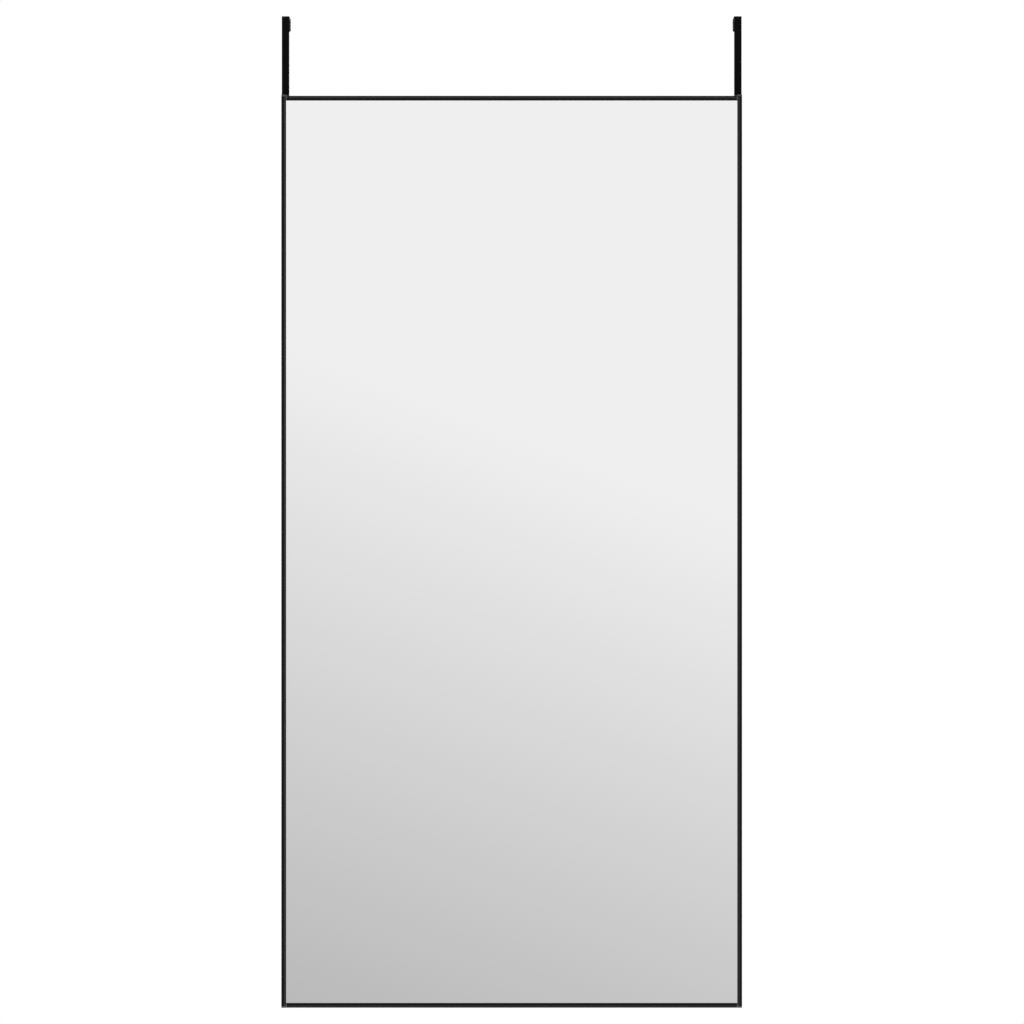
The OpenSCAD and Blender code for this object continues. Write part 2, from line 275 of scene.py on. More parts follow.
def blend_colours(tree, factor, first, second):
    """The first colour where the factor is nought, and the second where it is one."""
    colours = [c if isinstance(c, NodeSocket) else (*c, 1.0) for c in (first, second)]
    feeds = {0: factor, 6: colours[0], 7: colours[1]}
    return add_node(tree, "Mix", feeds, data_type="RGBA").outputs[2]


def remap(tree, value, start, end, low=0.0, high=1.0):
    """The value's range from start to end, spread from low to high and held there."""
    feeds = {"Value": value, "From Min": start, "From Max": end, "To Min": low, "To Max": high}
    return add_node(tree, "MapRange", feeds, clamp=True).outputs[0]


def object_place(tree):
    """The point on the piece in metres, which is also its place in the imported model's frame."""
    return add_node(tree, "TexCoord").outputs["Object"]


def surface_normal(tree):
    """The way that the surface faces."""
    return add_node(tree, "NewGeometry").outputs["Normal"]


def parts_of(tree, vector):
    """A vector's parts along X, Y and Z."""
    return add_node(tree, "SeparateXYZ", {0: vector}).outputs


def noise(tree, scale, detail=2.0, rough=0.5, distortion=0.0, place=None):
    """A noise texture's value, at the point on the piece unless another place is given."""
    feeds = {"Vector": place or object_place(tree), "Scale": scale}
    feeds |= {"Detail": detail, "Roughness": rough, "Distortion": distortion}
    return add_node(tree, "TexNoise", feeds).outputs[0]


def cells_of(tree, scale):
    """The outputs of a texture that splits the piece into cells."""
    return add_node(tree, "TexVoronoi", {"Vector": object_place(tree), "Scale": scale}).outputs


def laid_over(tree, turn, stretch):
    """The point on a board that faces along Y, turned in its plane and then drawn out by the stretch."""
    feeds = {"Vector": object_place(tree), "Rotation": (0.0, radians(turn), 0.0), "Scale": stretch}
    return add_node(tree, "Mapping", feeds, vector_type="TEXTURE").outputs[0]


# Shared effects


EFFECTS = {}


def effect(output, **inputs):
    """Keeps a function as the maker of a node group with this output and these inputs."""

    def keep(make):
        EFFECTS[make.__name__] = (make, output, inputs)
        return make

    return keep


def new_group(name):
    """The node group of a shared effect, with its named inputs and output."""
    make, output, inputs = EFFECTS[name]
    group = bpy.data.node_groups.new(name, "ShaderNodeTree")
    for label, default in inputs.items():
        kind = "NodeSocketVector" if isinstance(default, tuple) else "NodeSocketFloat"
        socket = group.interface.new_socket(name=label, in_out="INPUT", socket_type=kind)
        socket.default_value = default
    group.interface.new_socket(name=output, in_out="OUTPUT", socket_type="NodeSocketFloat")
    given = group.nodes.new("NodeGroupInput")
    result = group.nodes.new("NodeGroupOutput")
    group.links.new(make(group, given.outputs), result.inputs[output])
    return group


@effect("Height", Stretch=(1.0, 1.0, 0.01), Density=2500.0)
def drawn_lines(group, given):
    """Fine lines that a die or a brush leaves, drawn out along the axis that Stretch makes small."""
    feeds = {0: object_place(group), 1: given["Stretch"]}
    along = add_node(group, "VectorMath", feeds, operation="MULTIPLY").outputs[0]
    coarse = noise(group, given["Density"], 4.0, 0.65, place=along)
    fine = noise(group, times(group, given["Density"], 4.7), place=along)
    return plus(group, times(group, coarse, 0.7), times(group, fine, 0.3))


@effect("Height", Grain=0.0006)
def orange_peel(group, given):
    """The soft, even ripple of a sprayed or moulded skin, with grains of the given size."""
    return remap(group, noise(group, per_metre(group, given["Grain"]), 1.5, 0.4), 0.25, 0.75)


@effect("Value", Size=0.03, Low=0.0, High=1.0)
def handling_marks(group, given):
    """Cloudy marks of hands and cloths, as a value between Low and High."""
    clouds = noise(group, per_metre(group, given["Size"]), 6.0, 0.62, 0.7)
    return remap(group, clouds, 0.3, 0.7, given["Low"], given["High"])


@effect("Mask", Amount=0.1)
def settled_dust(group, given):
    """Dust on the faces that look up."""
    ledge = remap(group, parts_of(group, surface_normal(group))["Z"], 0.35, 0.95)
    grains = remap(group, noise(group, 1400.0, 5.0, 0.7), 0.38, 0.72)
    return times(group, ledge, grains, given["Amount"])


@effect("Mask", Width=0.0002, Amount=0.3)
def edge_rub(group, given):
    """Patches along the edges where handling has rubbed the coating."""
    rounded = add_node(group, "Bevel", {"Radius": given["Width"]}, samples=6).outputs[0]
    edge = remap(group, dot_product(group, rounded, surface_normal(group)), 0.995, 0.85)
    patches = remap(group, noise(group, 260.0, 6.0, 0.7), 0.5, 0.68)
    return times(group, edge, patches, given["Amount"])


@effect("Mask", Size=0.001, Share=0.1)
def flecks(group, given):
    """Scattered ragged specks, no two alike: Share says how many of the cells hold one."""
    density = per_metre(group, given["Size"])
    cells = cells_of(group, density)
    draws = add_node(group, "SeparateColor", {0: cells["Color"]}).outputs
    chosen = calculate(group, "LESS_THAN", draws[0], given["Share"])
    ragged = noise(group, times(group, density, 3.1), 3.0, 0.7)
    edge = plus(group, cells["Distance"], times(group, ragged, 0.55))
    radius = remap(group, draws[1], 0.0, 1.0, 0.3, 0.56)
    sharpness = 14.0
    speck = calculate(group, "MULTIPLY", calculate(group, "SUBTRACT", radius, edge), sharpness, clamp=True)
    return times(group, chosen, speck)


@effect("Height", Size=0.0004)
def pores(group, given):
    """Cells and pores of the given size, as a height that dips between them."""
    return remap(group, cells_of(group, per_metre(group, given["Size"]))["Distance"], 0.1, 0.75)


@effect("Mask", Strand=0.0012)
def fibres(group, given):
    """Short strands that lie every way in the plane of a board which faces along Y."""
    density = per_metre(group, given["Strand"])
    strands = 0.0
    for turn in (12.0, 57.0, 101.0, 149.0):
        lie = laid_over(group, turn, (7.0, 1.0, 1.0))
        strand = remap(group, noise(group, density, 3.0, 0.6, 0.35, place=lie), 0.57, 0.74)
        strands = calculate(group, "MAXIMUM", strands, strand)
    return strands


SPAN = {"Way": (1.0, 0.0, 0.0), "Middle": 0.0, "Half": 0.5}


def depth_in_span(group, given):
    """How far a point lies inside the two ends of a span, which runs one way about its middle."""
    along = dot_product(group, object_place(group), given["Way"])
    from_middle = calculate(group, "ABSOLUTE", calculate(group, "SUBTRACT", along, given["Middle"]))
    return calculate(group, "SUBTRACT", given["Half"], from_middle)


@effect("Mask", **SPAN, Width=0.0003)
def sawn_ends(group, given):
    """The hairline of bare metal that the saw leaves round both ends of a coated member."""
    worn = remap(group, noise(group, 900.0, 4.0, 0.6), 0.3, 0.6, 0.45, 1.0)
    bare = calculate(group, "LESS_THAN", depth_in_span(group, given), times(group, worn, given["Width"]))
    return times(group, bare, worn)


@effect("Mask", **SPAN, Depth=0.003, Width=0.001)
def painted_highlight_line(group, given):
    """A soft painted highlight along a member's front face, as far inside the frame's edge as Depth says: a
    pale line of colour that stands in for light caught there.
    """
    off_line = calculate(group, "SUBTRACT", depth_in_span(group, given), given["Depth"])
    half_width = times(group, given["Width"], 0.5)
    nearness = calculate(group, "SUBTRACT", half_width, calculate(group, "ABSOLUTE", off_line))
    front = remap(group, parts_of(group, surface_normal(group))["Y"], -0.9, -0.98)
    line = remap(group, nearness, -0.12 * MM, 0.22 * MM)
    uneven = remap(group, noise(group, 26.0, 4.0, 0.6), 0.3, 0.7, 0.7, 1.0)
    return times(group, line, front, uneven)


# Finishes


class Finish:
    """A material with one Principled shader, whose sockets take plain values or nodes' outputs."""

    def __init__(self, name, **values):
        self.material = bpy.data.materials.new(name)
        self.material.use_nodes = True
        self.tree = self.material.node_tree
        self.shader = self.tree.nodes["Principled BSDF"]
        for label, value in values.items():
            self.set(label.replace("_", " "), value)

    def set(self, label, value):
        """Sets one of the shader's sockets, or joins it to a node's output."""
        feed(self.tree, self.shader.inputs[label], value)

    def use(self, name, **values):
        """Places a shared effect in the material with its own values, and gives its output."""
        group = bpy.data.node_groups.get(name) or new_group(name)
        return add_node(self.tree, "Group", values, node_tree=group).outputs[0]

    def coat(self, base, *coats):
        """Lays coats on a colour: each has a mask, a colour and, where it isn't one, a strength."""
        for mask, tint, *strength in coats:
            if strength:
                mask = times(self.tree, mask, strength[0])
            base = blend_colours(self.tree, mask, base, tint)
        self.set("Base Color", base)

    def roughen(self, size, low, high, *changes):
        """Sets the roughness to marks of a size from low to high, and adds masks times their amounts."""
        roughness = self.use("handling_marks", Size=size, Low=low, High=high)
        for mask, amount in changes:
            roughness = plus(self.tree, roughness, times(self.tree, mask, amount), clamp=True)
        self.set("Roughness", roughness)

    def raise_surface(self, *layers):
        """Bumps the surface by (height, depth in metres) layers, one on the other."""
        feeds = {}
        for height, depth in layers:
            feeds |= {"Height": height, "Distance": depth}
            feeds["Normal"] = add_node(self.tree, "Bump", feeds).outputs[0]
        self.set("Normal", feeds["Normal"])


def tinted(base, *factors):
    """A colour times one factor, or times one each for red, green and blue."""
    return [part * factor for part, factor in zip(base, factors * (3 // len(factors)))]


def silvered_glass(look):
    """A clean mirror with a trace of dust and of the cloth that wiped it."""
    finish = Finish("silvered_glass", Metallic=1.0, IOR=1.52)
    specks = finish.use("flecks", Size=0.0016, Share=look.specks)
    roller_wave = noise(finish.tree, 3.5, 1.0)
    finish.coat(look.silver, (specks, GLASS_DUST, 0.16))
    finish.roughen(0.16, look.polish, look.polish * 2.2, (specks, 0.08))
    finish.raise_surface((roller_wave, 0.00003))
    return finish.material


def coated_extrusion(name, look, along, saw_line, across, highlight_depth):
    """Black coated aluminium with the die's lines along it, bare at its sawn ends, and with a painted
    highlight along its face.

    Along is the span from one sawn end to the other, and across the frame's span over its outer edges.
    """
    finish = Finish(name, Specular_IOR_Level=0.1)
    stretch = tuple(0.004 if part else 1.0 for part in along["Way"])
    lines = finish.use("drawn_lines", Stretch=stretch, Density=2600.0)
    peel = finish.use("orange_peel", Grain=0.0009)
    # Painted highlight: a pale line along the front face that stands in for light caught there
    pale = finish.use("painted_highlight_line", Depth=highlight_depth, Width=look.highlight_width, **across)
    rubbed = finish.use("edge_rub", Width=0.0003, Amount=look.rub)
    sawn = finish.use("sawn_ends", Width=saw_line, **along)
    bare = calculate(finish.tree, "MAXIMUM", rubbed, sawn)
    dust = finish.use("settled_dust", Amount=0.05)
    line_coat = (lines, tinted(look.black, 1.7), 0.8)
    finish.coat(look.black, line_coat, (pale, look.pale), (bare, look.metal), (dust, DUST))
    finish.roughen(0.05, look.sheen - 0.11, look.sheen + 0.01, (lines, 0.12), (dust, 2.0))
    finish.raise_surface((lines, look.line_depth), (peel, 0.000006))
    return finish.material


def powder_coat(look):
    """Deep black powder coat over steel, rubbed a little along its edges."""
    finish = Finish("strap_powder_coat", Specular_IOR_Level=0.045)
    peel = finish.use("orange_peel", Grain=0.0007)
    rubbed = finish.use("edge_rub", Width=0.00035, Amount=0.06)
    dust = finish.use("settled_dust", Amount=0.04)
    peel_coat = (peel, tinted(look.black, 2.2), 0.6)
    finish.coat(look.black, peel_coat, (rubbed, (0.2, 0.2, 0.205)), (dust, GREY_DUST))
    finish.roughen(0.02, look.sheen - 0.08, look.sheen + 0.08, (dust, 3.0))
    finish.raise_surface((peel, 0.00002), (noise(finish.tree, 5200.0, 3.0), 0.000006))
    return finish.material


def hardboard(look):
    """Pressed brown fibreboard: paler strands, dark specks, cloudy tone and a few scuffs."""
    finish = Finish("hardboard", Specular_IOR_Level=0.35)
    tree = finish.tree
    strands = finish.use("fibres", Strand=0.0006)
    fluff = finish.use("fibres", Strand=0.0015)
    bark = finish.use("flecks", Size=0.0026, Share=0.1)
    pressed = finish.use("pores", Size=0.0007)
    tone = finish.use("handling_marks", Size=0.045)
    scratches = noise(tree, 240.0, place=laid_over(tree, 33.0, (1.0, 1.0, 33.0)))
    handled = remap(tree, noise(tree, 9.0), 0.5, 0.62)
    scuffs = times(tree, remap(tree, scratches, 0.735, 0.79), handled)
    finish.coat(
        tinted(look.board, 0.84),
        (tone, look.board),
        (strands, look.fibre, 0.34),
        (fluff, look.fibre, 0.2),
        (bark, look.bark, 0.65),
        (scuffs, look.fibre, 0.35),
    )
    finish.roughen(0.06, 0.56, 0.72, (scuffs, -0.12))
    finish.raise_surface((strands, 0.00003), (pressed, 0.00002), (scuffs, -0.00003))
    return finish.material


def zinc_plating(look):
    """Bright zinc over rolled steel, with faint clouds of passivation."""
    finish = Finish("zinc_plating", Metallic=1.0)
    rolled = finish.use("drawn_lines", Stretch=(1.0, 1.0, 0.05), Density=1800.0)
    clouds = finish.use("handling_marks", Size=0.006)
    spots = finish.use("flecks", Size=0.0011, Share=0.3)
    rubbed = finish.use("edge_rub", Width=0.0003, Amount=0.5)
    finish.coat(
        look.zinc,
        (clouds, tinted(look.zinc, 0.86, 0.8, 0.68), 0.7),
        (rolled, tinted(look.zinc, 0.7), 0.35),
        (spots, tinted(look.zinc, 0.55), 0.3),
        (rubbed, (0.72, 0.72, 0.73)),
    )
    finish.roughen(0.01, 0.28, 0.46, (rolled, 0.08))
    finish.raise_surface((rolled, 0.000012), (spots, -0.000006))
    return finish.material


def spring_strip(look):
    """Tempered spring steel: blue-grey with straw clouds, and rolling lines along the strip."""
    finish = Finish("spring_strip", Metallic=1.0)
    rolled = finish.use("drawn_lines", Stretch=(1.0, 1.0, 0.03), Density=3200.0)
    temper = finish.use("handling_marks", Size=0.014, High=0.75)
    rubbed = finish.use("edge_rub", Amount=0.6)
    finish.coat(look.spring, (temper, look.temper), (rubbed, (0.62, 0.62, 0.63)))
    finish.roughen(0.008, 0.24, 0.38, (rolled, 0.08))
    finish.raise_surface((rolled, 0.00001))
    return finish.material


def blackened_steel(look):
    """Oxide-blackened screw steel, with bright rubs along its edges."""
    finish = Finish("blackened_steel", Metallic=0.55, Specular_IOR_Level=0.4)
    turned = finish.use("drawn_lines", Stretch=(1.0, 0.2, 1.0), Density=4200.0)
    rubbed = finish.use("edge_rub", Amount=0.55)
    clouds = finish.use("handling_marks", Size=0.002, High=0.6)
    finish.coat(look.black, (clouds, tinted(look.black, 1.5, 1.3, 1.1)), (rubbed, (0.42, 0.42, 0.43)))
    finish.roughen(0.003, 0.3, 0.46)
    finish.raise_surface((turned, 0.000008))
    return finish.material


def moulded_plastic(look):
    """Black moulded plastic with the fine matt skin of an etched mould."""
    finish = Finish("moulded_plastic", Specular_IOR_Level=0.45)
    skin = finish.use("orange_peel", Grain=0.00022)
    rubbed = finish.use("edge_rub", Amount=0.12)
    dust = finish.use("settled_dust", Amount=0.08)
    finish.coat(look.plastic, (skin, tinted(look.plastic, 1.5)), (rubbed, (0.12, 0.12, 0.12)), (dust, DUST))
    finish.roughen(0.006, 0.42, 0.56)
    finish.raise_surface((skin, 0.000012))
    return finish.material


def moulded_rubber(look):
    """Matt black rubber with a bloomed, faintly dusty skin."""
    finish = Finish("moulded_rubber", Specular_IOR_Level=0.3, Sheen_Weight=0.06, Sheen_Roughness=0.5)
    skin = finish.use("orange_peel", Grain=0.0003)
    bloom = finish.use("handling_marks", Size=0.003, High=0.5)
    dust = finish.use("settled_dust", Amount=0.14)
    finish.coat(look.rubber, (bloom, tinted(look.rubber, 2.4)), (dust, GREY_DUST))
    finish.roughen(0.004, 0.62, 0.8)
    finish.raise_surface((skin, 0.00002))
    return finish.material


def cut_foam(look):
    """Dense black foam tape with open cells on its cut faces."""
    finish = Finish("cut_foam", Specular_IOR_Level=0.22, Sheen_Weight=0.1, Sheen_Roughness=0.6)
    cells = finish.use("pores", Size=0.00045)
    clouds = finish.use("handling_marks", Size=0.005, High=0.5)
    paler = tinted(look.foam, 2.5)
    finish.coat(look.foam, (cells, paler), (clouds, paler))
    finish.roughen(0.006, 0.8, 0.94)
    finish.raise_surface((cells, -0.00009))
    return finish.material


def dress(start, material):
    """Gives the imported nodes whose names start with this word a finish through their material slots."""
    nodes = [node for name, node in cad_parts.items() if name.startswith(start)]
    if not nodes:
        raise RuntimeError(f"no packed node starts with {start}")
    for node in nodes:
        if not node.material_slots:
            node.data.materials.append(None)
        for slot in node.material_slots:
            slot.material = material


def span(axis, first, last):
    """The stretch from one node's lower end to another's upper end, as the node groups take it."""
    index = "XYZ".index(axis)
    low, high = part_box(first)[0][index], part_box(last)[1][index]
    way = tuple(float(i == index) for i in range(3))
    return {"Way": way, "Middle": (low + high) / 2, "Half": (high - low) / 2}


# Solids


def skin_rings(name, rings):
    """A closed mesh over rings of points and across both ends, with its faces turned outwards."""
    count = len(rings[0])
    points = [point for ring in rings for point in ring]
    faces = [range(count), range(len(points) - count, len(points))]
    for row in range(len(rings) - 1):
        first, second = row * count, (row + 1) * count
        for i in range(count):
            after = (i + 1) % count
            faces.append([first + i, first + after, second + after, second + i])
    mesh = bpy.data.meshes.new(name)
    mesh.from_pydata(points, [], faces)
    shape = bmesh.new()
    shape.from_mesh(mesh)
    bmesh.ops.remove_doubles(shape, verts=shape.verts, dist=1e-7)
    bmesh.ops.recalc_face_normals(shape, faces=shape.faces)
    shape.to_mesh(mesh)
    shape.free()
    return mesh


def rounded_outline(corners, steps=5):
    """A flat outline through (x, y, radius) corners, with each corner rounded."""
    outline = []
    for i, (x, y, radius) in enumerate(corners):
        here = Vector((x, y))
        before = (Vector(corners[i - 1][:2]) - here).normalized()
        after = (Vector(corners[(i + 1) % len(corners)][:2]) - here).normalized()
        half = before.angle(after) / 2
        reach = radius / tan(half)
        centre = here + (before + after).normalized() * (radius / sin(half))
        start, end = ((here + way * reach - centre).normalized() for way in (before, after))
        outline += [centre + start.slerp(end, step / steps) * radius for step in range(steps + 1)]
    return outline


def drawn_in(outline, inset):
    """The outline moved inwards by the inset. Its corners run anticlockwise."""
    sharpest = 0.3
    moved = []
    for i, here in enumerate(outline):
        before, after = here - outline[i - 1], outline[(i + 1) % len(outline)] - here
        normal = Vector((-before.y - after.y, before.x + after.x)).normalized()
        edge = Vector((-before.y, before.x)).normalized()
        moved.append(here + normal * inset / max(normal.dot(edge), sharpest))
    return moved


def soft_edge(softness, steps=4):
    """(height left, inset) pairs that round an edge off, from its side to its face."""
    turns = [pi / 2 * i / steps for i in range(steps + 1)]
    return [(softness * (1 - sin(t)), softness * (1 - cos(t))) for t in turns]


def laid_rings(outline, levels, place):
    """The outline at each (height, inset) level. Place turns (x, y, height) into a point of the model."""
    return [[place(p.x, p.y, height) for p in drawn_in(outline, inset)] for height, inset in levels]


def pressed_block(name, outline, thickness, softness, place, soft_foot=True):
    """A flat block with soft edges on its face and, unless it stands on something, its foot."""
    rounding = soft_edge(softness)
    foot = rounding[::-1] if soft_foot else [(0.0, 0.0)]
    levels = foot + [(thickness - left, inset) for left, inset in rounding]
    return skin_rings(name, laid_rings(outline, levels, place))


def turned_solid(name, profile, steps, middle=(0.0, 0.0), thread=None):
    """A solid turned about the Y axis through the (x, z) middle, from (y, radius) pairs."""
    rings = []
    for y, radius in profile:
        ring = []
        for i in range(steps):
            angle = 2 * pi * i / steps
            reach = radius - (thread(y, angle) if thread else 0.0)
            ring.append((middle[0] + reach * cos(angle), y, middle[1] + reach * sin(angle)))
        rings.append(ring)
    return skin_rings(name, rings)


def stand(name, data):
    """A new object in the scene."""
    item = bpy.data.objects.new(name, data)
    bpy.context.scene.collection.objects.link(item)
    return item


def carve(mesh, cutters, join=False):
    """Cuts closed meshes out of a closed mesh, or joins them to it, and gives the result."""
    body = stand("carving", mesh)
    helpers = [stand("cutter", cutter) for cutter in cutters]
    for helper in helpers:
        modifier = body.modifiers.new("carve", "BOOLEAN")
        modifier.operation = "UNION" if join else "DIFFERENCE"
        modifier.solver = "EXACT"
        modifier.object = helper
    evaluated = body.evaluated_get(bpy.context.evaluated_depsgraph_get())
    carved = bpy.data.meshes.new_from_object(evaluated)
    for item in [body] + helpers:
        bpy.data.objects.remove(item)
    if len(carved.polygons) < len(mesh.polygons):
        raise RuntimeError(f"{mesh.name}: carving lost most of the solid")
    return carved


def add_piece(name, mesh, material, replaced, sharp=38.0):
    """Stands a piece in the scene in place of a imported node, smooth but for its sharp edges."""
    mesh.name = name
    mesh.materials.clear()
    mesh.materials.append(material)
    mesh.polygons.foreach_set("use_smooth", [True] * len(mesh.polygons))
    mesh.set_sharp_from_angle(angle=radians(sharp))
    piece = stand(name, mesh)
    flatten = piece.modifiers.new("flat faces", "WEIGHTED_NORMAL")
    flatten.keep_sharp = True
    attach(piece, "root")
    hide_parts(replaced)
    return piece


# Hooks


def middle_of_hook(side):
    """The middle of a packed hook's width."""
    low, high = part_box(f"hook_{side}")
    return (low.x + high.x) / 2


def strap_stations(look):
    """(middle line's point, outward direction, distance from the nearer end) along a strap, tail to lip."""
    half = STRAP_THICKNESS / 2
    bend_z = SEAT_PAD_THICKNESS - look.bend_radius
    lip_y = HOOK_HIGH.y - half
    lip_z = HOOK_HIGH.z - look.lip
    turn = look.bend_radius + half
    steps, far_from_ends = 12, 1.0
    ends = [look.corner_radius * (1 - cos(pi / 2 * i / steps)) for i in range(steps + 1)]
    stations = [((-half, HOOK_LOW.z + d), (-1.0, 0.0), d) for d in ends]
    for centre_y, first in ((look.bend_radius, 180.0), (lip_y - turn, 90.0)):
        for step in range(look.bend_steps + 1):
            angle = radians(first - 90.0 * step / look.bend_steps)
            way = (cos(angle), sin(angle))
            stations.append(((centre_y + turn * way[0], bend_z + turn * way[1]), way, far_from_ends))
    stations += [((lip_y, lip_z + d), (1.0, 0.0), d) for d in reversed(ends)]
    return stations


def strap_mesh(name, middle_x, look):
    """A strap with soft long edges, rounded ends and no holes yet."""
    soft, end_radius = look.edge_softness, look.corner_radius
    least_radius = 0.02 * MM
    rings = []
    for (y, z), (out_y, out_z), from_end in strap_stations(look):
        beside = max(end_radius - from_end, 0.0)
        width = STRAP_WIDTH / 2 - end_radius + sqrt(end_radius**2 - beside**2)
        within = max(soft - from_end, 0.0)
        inset = soft - sqrt(soft**2 - within**2)
        wide, thick = width - inset, STRAP_THICKNESS / 2 - inset
        radius = max(soft - inset, least_radius)
        corners = ((wide, -thick), (wide, thick), (-wide, thick), (-wide, -thick))
        ring = rounded_outline([(*corner, radius) for corner in corners], steps=4)
        rings.append([(middle_x + p.x, y + out_y * p.y, z + out_z * p.y) for p in ring])
    return skin_rings(name, rings)


def screw_heights(look):
    """Names and heights of a hook's two screws."""
    upper = FRAME_TOP - look.first
    return [("upper", upper), ("lower", upper - look.spacing)]


def hole_cutter(middle_x, z, look):
    """A countersunk hole with broken edges, from the strap's rear face at nought."""
    clearance, broken = 0.15 * MM, 0.08 * MM
    head, hole = look.head / 2 + clearance, look.thread / 2 + clearance
    profile = [
        (-STRAP_THICKNESS - MM, hole + broken),
        (-STRAP_THICKNESS, hole + broken),
        (-STRAP_THICKNESS + broken, hole),
        (hole - head, hole),
        (-broken, head - broken),
        (0.0, head + broken),
        (MM, head + broken),
    ]
    return turned_solid("hole", profile, 64, (middle_x, z))


def screw_mesh(name, look, turn):
    """A countersunk screw with a cross recess and a cut thread, about the Y axis with its head at nought."""
    thread, head = look.thread / 2, look.head / 2
    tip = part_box("hook_screws")[0].y + look.sink
    depth = look.pitch * 0.5
    under_head = thread - head
    neck = under_head - 0.1 * MM
    first = tip + 0.4 * MM

    def groove(height, angle):
        """How far the thread dips in here, with its ends run out."""
        if not first < height < neck - look.pitch:
            return 0.0
        phase = (height / look.pitch + angle / (2 * pi)) % 1.0
        return depth * abs(2 * phase - 1)

    rows_to_turn = 6
    rows = int((neck - first) / (look.pitch / rows_to_turn))
    point = [(tip, thread * 0.62), (tip + 0.15 * MM, thread * 0.7), (first, thread - depth * 0.6)]
    shank = [(first + (neck - first) * (i + 1) / rows, thread) for i in range(rows)]
    cone = [(under_head, thread), (-0.14 * MM, head - 0.14 * MM)]
    rim = [(-0.05 * MM, head - 0.03 * MM), (0.0, head - 0.12 * MM)]
    solid = turned_solid(name, point + shank + cone + rim, 28, thread=groove)
    core = [(-1.45 * MM, 0.12 * MM), (-1.0 * MM, 0.42 * MM), (0.5 * MM, 0.62 * MM)]
    wings = [cross_wing(look, turn + quarter) for quarter in (0.0, pi / 2)]
    return carve(solid, wings + [turned_solid("core", core, 20)])


def cross_wing(look, turn):
    """One tapered slot of a screw's cross recess, drawn for a 5.5 mm head and fitted to the screw's own."""
    size = look.head / (5.5 * MM)
    rings = []
    for height, reach, width in ((-1.15, 0.7, 0.22), (0.4, 1.62, 0.36)):
        ring = []
        for x, y in ((reach, -width), (reach, width), (-reach, width), (-reach, -width)):
            place = Vector((x * MM, y * MM)) @ Matrix.Rotation(turn, 2) * size
            ring.append((place.x, height * MM, place.y))
        rings.append(ring)
    return skin_rings("wing", rings)


# Caps and pads


def cap_mesh(name, node, side, end, face, look):
    """An end cap: a plate over the stile's section, and the spigot that holds it in the glass groove."""
    low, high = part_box(node)
    width, depth, tall = high - low
    web = BOARD_BACK + SPRING_ROOM - low.y
    outer = low.x if side < 0 else high.x
    plate = look.cap_thickness
    foot = high.z - plate if end > 0 else low.z + plate
    tight = look.cap_softness * 1.15

    def place(x, y, height):
        """From the corner inwards, back and towards the cap's outside."""
        return (outer - side * x, low.y + y, foot + end * height)

    section = [
        (0.0, 0.0, EDGE_RADIUS),
        (face, 0.0, tight),
        (face, web, tight),
        (width, web, tight),
        (width, depth, REAR_RADIUS),
        (0.0, depth, REAR_RADIUS),
    ]
    solid = pressed_block(name, rounded_outline(section), plate, look.cap_softness, place, soft_foot=False)
    radius, taper, taper_length = 0.6 * MM, 0.5 * MM, 0.6 * MM
    near, far_x, far_y = WALL + SPIGOT_PLAY, face - SPIGOT_PLAY, web - SPIGOT_PLAY
    corners = ((near, near), (far_x, near), (far_x, far_y), (near, far_y))
    outline = rounded_outline([(*corner, radius) for corner in corners], steps=3)
    spigot_end = plate - tall
    levels = [(spigot_end, taper), (spigot_end + taper_length, 0.0), (plate * 0.3, 0.0)]
    return carve(solid, [skin_rings("spigot", laid_rings(outline, levels, place))], join=True)


def foam_mesh(name, node, softness, axes):
    """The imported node's foam with soft cut edges. The axes are those of its width, length and thickness."""
    low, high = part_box(node)
    wide, long, thick = ((high - low)[axis] for axis in axes)
    corners, radius = ((0, 0), (wide, 0), (wide, long), (0, long)), 0.6 * MM
    outline = rounded_outline([(*corner, radius) for corner in corners])

    def place(*reach):
        """From the strip's lowest corner, along its flat sides and through it."""
        point = low.copy()
        for axis, part in zip(axes, reach):
            point[axis] += part
        return point

    return pressed_block(name, outline, thick, softness, place)


# Studio


def paper_floor(look):
    """Pale studio paper that fades out at its rim and lets the view through from below. In reflections it
    carries painted shade: darker the further it lies in front of the mirror and to its left.
    """
    finish = Finish("studio_paper", Roughness=0.85, Specular_IOR_Level=0.1)
    tree = finish.tree
    ways = parts_of(tree, object_place(tree))
    away = plus(tree, ways["Y"], times(tree, ways["X"], 0.35))
    # Painted shade: only glossy rays see the paper darken with distance in front of and to the left of the
    # mirror
    painted_falloff = remap(tree, away, -0.8, -6.5, 0.08, 0.55)
    glossy = add_node(tree, "LightPath").outputs["Is Glossy Ray"]
    clouds = noise(tree, 3.0, 4.0)
    finish.coat(look.floor, (clouds, tinted(look.floor, 0.985)), (times(tree, painted_falloff, glossy), BLACK))
    finish.raise_surface((noise(tree, 900.0, 3.0), 0.00004))
    reach = add_node(tree, "VectorMath", {0: object_place(tree)}, operation="LENGTH").outputs["Value"]
    below = add_node(tree, "NewGeometry").outputs["Backfacing"]
    open_part = calculate(tree, "MAXIMUM", remap(tree, reach, 6.0, 11.0), below)
    clear = add_node(tree, "BsdfTransparent").outputs[0]
    mixed = add_node(tree, "MixShader", {0: open_part, 1: finish.shader.outputs[0], 2: clear})
    tree.links.new(mixed.outputs[0], tree.nodes["Material Output"].inputs["Surface"])
    return finish.material


def lay_floor(look):
    """A round sheet of paper on the ground, well below the frame's foot."""
    radius, steps = 11.2, 96
    turns = [2 * pi * i / steps for i in range(steps)]
    sheet = bpy.data.meshes.new("studio_floor")
    sheet.from_pydata([(radius * cos(t), radius * sin(t), 0.0) for t in turns], [], [range(steps)])
    sheet.materials.append(paper_floor(look))
    floor = stand("studio_floor", sheet)
    floor.location.z = look.floor_z


